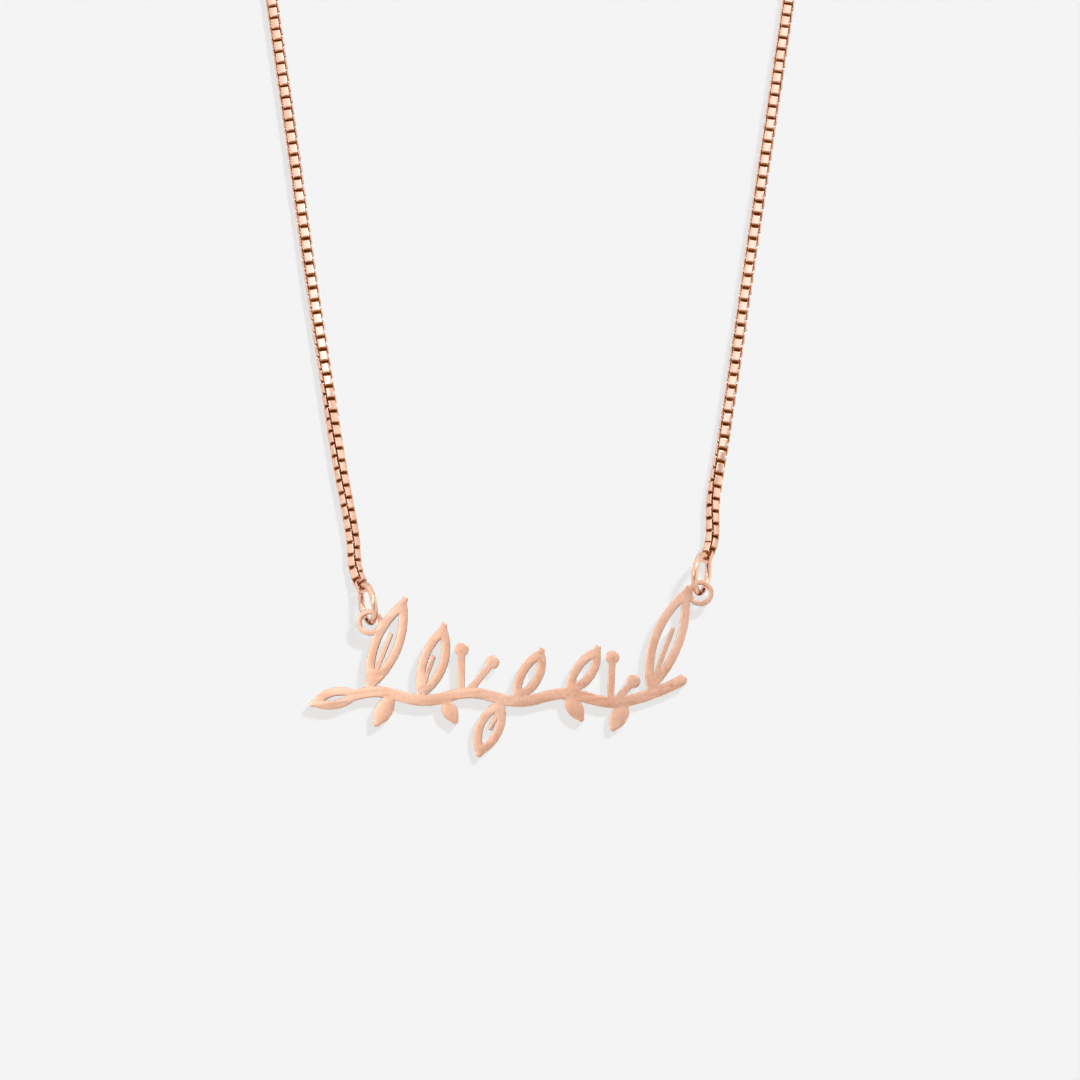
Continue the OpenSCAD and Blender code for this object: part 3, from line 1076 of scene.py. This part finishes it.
def toward(azimuth: float, elevation: float) -> Vector:
    """A direction in the room.

    Args:
        azimuth: its angle from +X toward +Y, in degrees.
        elevation: its angle above the floor, in degrees.

    Returns:
        The direction, one long.
    """
    return Vector((1, 0, 0)) @ (turn(elevation, "Y") @ turn(-azimuth, "Z")).to_3x3()


@dataclass(frozen=True)
class Glow:
    """A soft patch of the studio's walls or ceiling, as the metal mirrors it.

    It is brighter than the room, or darker where its brightness is below zero, as far out as
    its inner angle, and fades to nothing at its outer angle.
    """

    azimuth: float
    elevation: float
    inner: float
    outer: float
    brightness: float
    colour: tuple[float, float, float] = (1.0, 1.0, 1.0)

    def add(
        self, tree: bpy.types.NodeTree, way: bpy.types.NodeSocket, total: bpy.types.NodeSocket
    ) -> bpy.types.NodeSocket:
        """Add the patch's light to the world's nodes.

        Args:
            tree: the world's node tree.
            way: the direction that is looked in.
            total: the light without the patch.

        Returns:
            The socket with the light in that direction, with the patch.
        """
        middle = toward(self.azimuth, self.elevation)
        facing = add_node(tree, "ShaderNodeVectorMath", {"operation": "DOT_PRODUCT"})
        tree.links.new(way, facing.inputs[0])
        facing.inputs[1].default_value = middle
        patch = add_node(
            tree, "ShaderNodeMapRange", {"interpolation_type": "SMOOTHSTEP"},
            Value=facing.outputs["Value"], From_Min=math.cos(math.radians(self.outer)),
            From_Max=math.cos(math.radians(self.inner)), To_Min=0.0, To_Max=self.brightness,
        ).outputs["Result"]
        more = add_node(tree, "ShaderNodeVectorMath", {"operation": "MULTIPLY_ADD"})
        tree.links.new(patch, more.inputs[0])
        more.inputs[1].default_value = self.colour
        tree.links.new(total, more.inputs[2])
        return more.outputs["Vector"]


@dataclass(frozen=True)
class Softbox:
    """A flat light near the necklace; its brightness is what a reflection shows."""

    name: str
    place: tuple[float, float, float]
    width: float
    height: float
    brightness: float

    def build(self, aim: Vector) -> None:
        """Hang the light.

        Args:
            aim: the point that it faces and that its place is given from, in metres.
        """
        light = bpy.data.lights.new(self.name, "AREA")
        light.shape = "RECTANGLE"
        light.size = self.width * MM
        light.size_y = self.height * MM
        light.energy = self.brightness * math.pi * light.size * light.size_y
        lamp = bpy.data.objects.new(self.name, light)
        away = Vector(self.place) * MM
        lamp.location = aim + away
        lamp.rotation_euler = (-away).to_track_quat("-Z", "Y").to_euler()
        lamp.visible_camera = False
        lamp.visible_diffuse = False
        bpy.context.scene.collection.objects.link(lamp)


@dataclass(frozen=True)
class Lamp:
    """A far lamp, whose light comes from one direction, as wide as its angle."""

    name: str
    azimuth: float
    elevation: float
    strength: float
    angle: float
    colour: tuple[float, float, float] = (1.0, 1.0, 1.0)

    def build(self) -> bpy.types.Object:
        """Hang the lamp.

        Returns:
            The lamp.
        """
        light = bpy.data.lights.new(self.name, "SUN")
        light.energy = self.strength
        light.angle = math.radians(self.angle)
        light.color = self.colour
        lamp = bpy.data.objects.new(self.name, light)
        lamp.rotation_euler = toward(self.azimuth, self.elevation).to_track_quat("Z", "Y").to_euler()
        bpy.context.scene.collection.objects.link(lamp)
        return lamp


@dataclass(frozen=True)
class Studio:
    """The pale floor, the soft light and the camera that looks down at the plate.

    The view's middle is given from the middle between the plate's rings, and the camera's
    place from the view's middle.
    """

    floor_size: float = 40000.0
    floor_colour: str = "EFEFEF"
    floor_roughness: float = 0.9
    view_width: float = 103.3
    view_right: float = 0.5
    view_up: float = 4.78
    view_height: float = 1.0
    camera_height: float = 620.0
    camera_right: float = 12.0
    camera_up: float = -70.0
    sensor: float = 36.0
    room_light: float = 0.88
    key: Lamp = Lamp(
        "key", azimuth=49, elevation=50, strength=0.6, angle=6, colour=(0.86, 1.0, 1.14),
    )
    floor_lamp: Lamp = Lamp(
        "floor_lamp", azimuth=0, elevation=90, strength=2.83, angle=0.5, colour=(1.022, 0.999, 0.977),
    )
    glows: tuple[Glow, ...] = (
        # The dim ceiling overhead, which the plate mirrors
        Glow(azimuth=0, elevation=90, inner=30, outer=65, brightness=-0.41),
        # A small cool screen beside the key lamp, which whitens single links
        Glow(azimuth=62, elevation=66, inner=8, outer=19, brightness=0.6, colour=(0.85, 1.0, 1.3)),
        # The ceiling towards the clasp
        Glow(azimuth=90, elevation=60, inner=10, outer=36, brightness=0.4),
        # The wall at the upper left
        Glow(azimuth=135, elevation=20, inner=20, outer=80, brightness=0.32),
        # The wall at the right
        Glow(azimuth=0, elevation=8, inner=15, outer=50, brightness=0.35),
        # The dim foot of the wall at the near right, whose middle the floor hides
        Glow(azimuth=-60, elevation=-25, inner=10, outer=50, brightness=-0.4),
    )
    fill: Softbox = Softbox(
        "fill_left", place=(-58.0, -10.0, 120.0), width=40.0, height=40.0, brightness=4.3,
    )

    def build(self, left: JumpRing, right: JumpRing) -> None:
        """Set up the studio around the plate.

        Args:
            left: the plate's left ring.
            right: the plate's right ring.
        """
        middle = (left.middle + right.middle) / 2
        aim = Vector((middle.x + self.view_right, middle.y + self.view_up, self.view_height)) * MM
        floor = self.lay_floor()
        self.light_room()
        self.key.build()
        self.light_floor(floor)
        self.fill.build(aim)
        self.set_camera(aim)

    def lay_floor(self) -> bpy.types.Object:
        """Lay the floor under the necklace: a board in matte white paint, which shows no sheen.

        Returns:
            The floor.
        """
        half = self.floor_size / 2 * MM
        corners = [(-half, -half, 0), (half, -half, 0), (half, half, 0), (-half, half, 0)]
        mesh = bpy.data.meshes.new("floor")
        mesh.from_pydata(corners, [], [(0, 1, 2, 3)])
        paint = bpy.data.materials.new("Matte white paint on board")
        paint.use_nodes = True
        shader = paint.node_tree.nodes["Principled BSDF"]
        shader.inputs["Base Color"].default_value = linear(self.floor_colour)
        shader.inputs["Roughness"].default_value = self.floor_roughness
        shader.inputs["Specular IOR Level"].default_value = 0.0
        mesh.materials.append(paint)
        floor = bpy.data.objects.new("floor", mesh)
        bpy.context.scene.collection.objects.link(floor)
        return floor

    def light_room(self) -> None:
        """Give the room the walls and ceiling that the metal mirrors."""
        world = bpy.data.worlds.new("studio walls")
        world.use_nodes = True
        tree = world.node_tree
        way = add_node(tree, "ShaderNodeTexCoord").outputs["Generated"]
        total = add_node(tree, "ShaderNodeValue").outputs["Value"]
        total.default_value = self.room_light
        for glow in self.glows:
            total = glow.add(tree, way, total)
        tree.links.new(total, tree.nodes["Background"].inputs["Color"])
        # The floor's light comes from the lamps alone
        world.cycles_visibility.diffuse = False
        bpy.context.scene.world = world
        bpy.context.scene.view_settings.view_transform = "Standard"

    def light_floor(self, floor: bpy.types.Object) -> None:
        """Light the floor evenly from above, so that only the key lamp's shade shows on it.

        Args:
            floor: the floor.
        """
        lit = bpy.data.collections.new("lit_floor")
        lit.objects.link(floor)
        linking = self.floor_lamp.build().light_linking
        linking.receiver_collection = lit
        linking.blocker_collection = lit

    def set_camera(self, aim: Vector) -> None:
        """Hang the long lens above the floor, a little towards the viewer.

        Args:
            aim: the view's middle, in metres.
        """
        lens = bpy.data.cameras.new("camera")
        lens.sensor_width = self.sensor
        away = Vector((self.camera_right, self.camera_up, self.camera_height))
        lens.lens = self.sensor * away.length / self.view_width
        camera = bpy.data.objects.new("camera", lens)
        camera.location = aim + away * MM
        nod = math.atan2(-away.y, math.hypot(away.x, away.z))
        camera.rotation_euler = (nod, math.atan2(away.x, away.z), 0)
        bpy.context.scene.collection.objects.link(camera)
        bpy.context.scene.camera = camera


def main() -> None:
    """Build the necklace's pieces and the studio, and note the sizes."""
    logging.basicConfig(level=logging.INFO, format="%(name)s: %(message)s")
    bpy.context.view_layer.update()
    strip = ROLLED_STRIP.make()
    # The strip's inside, painted dark as the shade between links
    strip_shade = STRIP_PAINTED_SHADE.make()
    wire = DRAWN_WIRE.make()
    ring_left = JumpRing("jump_ring_left", direction=11.5, raised=1, seam=140)
    ring_right = JumpRing("jump_ring_right", direction=-8.5, raised=-1, seam=206)
    ring_clasp = JumpRing("clasp_ring", direction=99, raised=1, seam=60)
    ring_catch = JumpRing("catch_ring", direction=-99, raised=-1, seam=75)
    loop = Loop()
    chains = (
        ChainSide(
            Side.LEFT, loop, ring_left, ring_clasp, seed=3, first_through_side=True,
            drift=((7, -0.1), (14, 0.15), (22, 0.22), (32, 0.28), (46, 0.15), (60, 0.1), (90, 0)),
            roll=(
                (0, 62), (2, 54), (5, 48), (8, 45), (12, 40), (15, 33), (19, 20), (23, 12), (32, 5),
                (46, 0),
            ),
        ),
        ChainSide(
            Side.RIGHT, loop, ring_right, ring_catch, seed=8, first_through_side=False,
            drift=((10, -0.25), (16, -0.17), (22, -0.12), (32, -0.14), (46, -0.12), (60, -0.1), (90, 0)),
            roll=((0, 52), (2, 47), (4, 41), (6, 31), (8, 19), (10, 10), (13, 5), (17, 2), (24, 0)),
        ),
    )
    Studio().build(ring_left, ring_right)
    for chain in chains:
        chain.build(strip, strip_shade)
    for ring, end in (
        (ring_left, "end_link_left"), (ring_right, "end_link_right"),
        (ring_clasp, "end_link_clasp"), (ring_catch, "end_link_catch"),
    ):
        ring.build(wire)
        EndLink(end, ring).build(strip, strip_shade)
    # The plate's wall finish is darkened partly as painted shade
    Nameplate().build([BRUSHED_FACE.make(), RUBBED_RIM.make(), CUT_WALL_TONE_AND_SHADE.make()])
    Clasp().build(POLISHED_CASTING.make())


if __name__ == "__main__":
    main()
